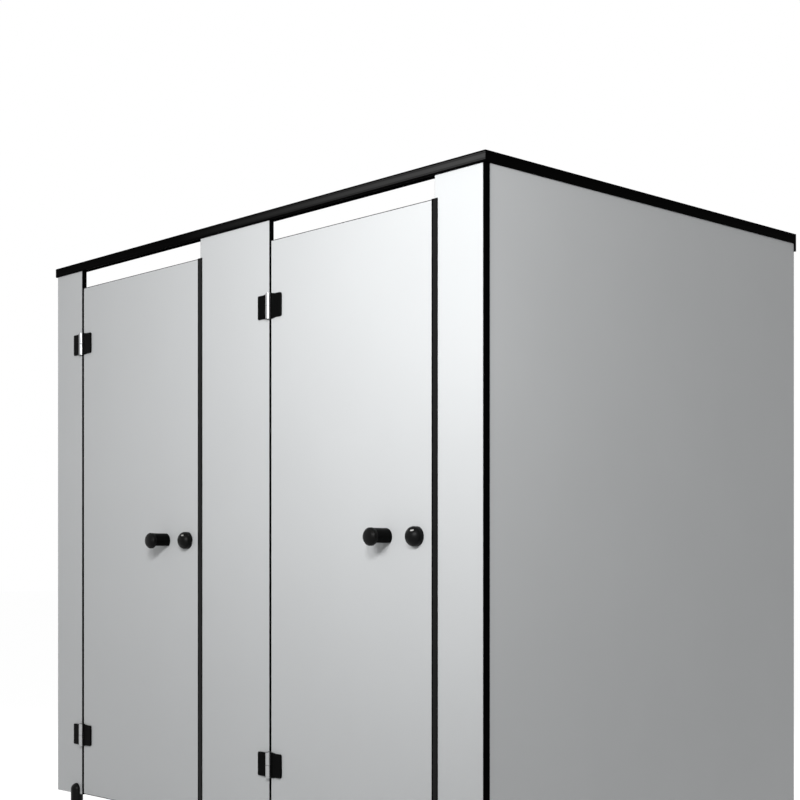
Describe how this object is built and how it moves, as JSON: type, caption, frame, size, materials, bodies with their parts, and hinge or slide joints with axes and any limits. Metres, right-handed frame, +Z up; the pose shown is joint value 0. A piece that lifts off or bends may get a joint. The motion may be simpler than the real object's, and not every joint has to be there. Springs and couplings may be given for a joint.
{
  "type": "toilet cubicle",
  "caption": "Row of two toilet cubicles: grey-white laminate boards, black headrail and trims, outward doors with knob, lock and self-closing hinges, open at the back for fixing to a wall.",
  "frame": {"origin": "on the floor, at the middle of the bounding box of the whole row", "axes": "+X along the fronts to the right as seen from outside, +Y to the building wall, +Z up"},
  "size_m": [2.1278, 1.494, 2],
  "materials": {
    "laminate": "satin",
    "black_aluminium": "satin",
    "black_nylon": "satin",
    "steel": "satin",
    "indicator": "gloss"
  },
  "bodies": {
    "frame": {"pilaster_left": "laminate", "pilaster_middle": "laminate", "pilaster_right": "laminate", "end_panel_left": "laminate", "end_panel_right": "laminate", "partition_middle": "laminate", "headrail_front": "black_aluminium", "headrail_return": "black_aluminium", "headrail_corner_key": "steel", "headrail_end_cap": "black_nylon", "headrail_wall_plate": "black_aluminium", "corner_trim": "black_aluminium", "corner_brackets": "black_aluminium", "wall_brackets": "black_aluminium", "frame_screws": "steel", "foot_posts": "black_nylon", "foot_studs": "steel", "foot_lock_nuts": "steel", "foot_flanges": "black_nylon", "foot_screws": "steel", "hinge_covers_fixed": "black_nylon", "hinge_knuckles_fixed": "steel", "hinge_pins": "steel", "hinge_plates_fixed": "steel", "hinge_screws_fixed": "steel", "keepers": "steel"},
    "door_left": {"door_left": "laminate", "closing_strip_left": "black_aluminium", "hinge_covers_left": "black_nylon", "hinge_knuckles_left": "steel", "hinge_plates_left": "steel", "door_screws_left": "steel", "knob_neck_left": "black_nylon", "knob_end_left": "black_nylon", "knob_rose_left": "black_nylon", "knob_bolt_left": "steel", "lock_cover_left": "black_nylon", "lock_case_left": "black_nylon"},
    "turn_left": {"indicator_left": "indicator", "lock_spindle_left": "steel", "thumb_turn_left": "black_nylon"},
    "bolt_left": {"slide_bolt_left": "steel"},
    "door_right": {"door_right": "laminate", "closing_strip_right": "black_aluminium", "hinge_covers_right": "black_nylon", "hinge_knuckles_right": "steel", "hinge_plates_right": "steel", "door_screws_right": "steel", "knob_neck_right": "black_nylon", "knob_end_right": "black_nylon", "knob_rose_right": "black_nylon", "knob_bolt_right": "steel", "lock_cover_right": "black_nylon", "lock_case_right": "black_nylon"},
    "turn_right": {"indicator_right": "indicator", "lock_spindle_right": "steel", "thumb_turn_right": "black_nylon"},
    "bolt_right": {"slide_bolt_right": "steel"}
  },
  "joints": [
    {"name": "door_left_swing", "type": "hinge", "parent": "frame", "child": "door_left", "pos_m": [-0.87775, -0.683, 1.03], "axis": [0, 0, -1], "range_deg": [0, 105], "stiffness_Nm_per_rad": 2.4},
    {"name": "thumb_turn_left_turn", "type": "hinge", "parent": "door_left", "child": "turn_left", "pos_m": [-0.2505, -0.675, 1.027], "axis": [0, 1, 0], "range_deg": [0, 90]},
    {"name": "slide_bolt_left_slide", "type": "slide", "parent": "door_left", "child": "bolt_left", "axis": [1, 0, 0], "range_m": [0, 0.02]},
    {"name": "door_right_swing", "type": "hinge", "parent": "frame", "child": "door_right", "pos_m": [0.17225, -0.683, 1.03], "axis": [0, 0, -1], "range_deg": [0, 105], "stiffness_Nm_per_rad": 2.4},
    {"name": "thumb_turn_right_turn", "type": "hinge", "parent": "door_right", "child": "turn_right", "pos_m": [0.7995, -0.675, 1.027], "axis": [0, 1, 0], "range_deg": [0, 90]},
    {"name": "slide_bolt_right_slide", "type": "slide", "parent": "door_right", "child": "bolt_right", "axis": [1, 0, 0], "range_m": [0, 0.02]}
  ],
  "couplings": [
    {"joint": "thumb_turn_left_turn", "follows": "slide_bolt_left_slide", "rad_per_m": 78.53},
    {"joint": "thumb_turn_right_turn", "follows": "slide_bolt_right_slide", "rad_per_m": 78.53}
  ]
}
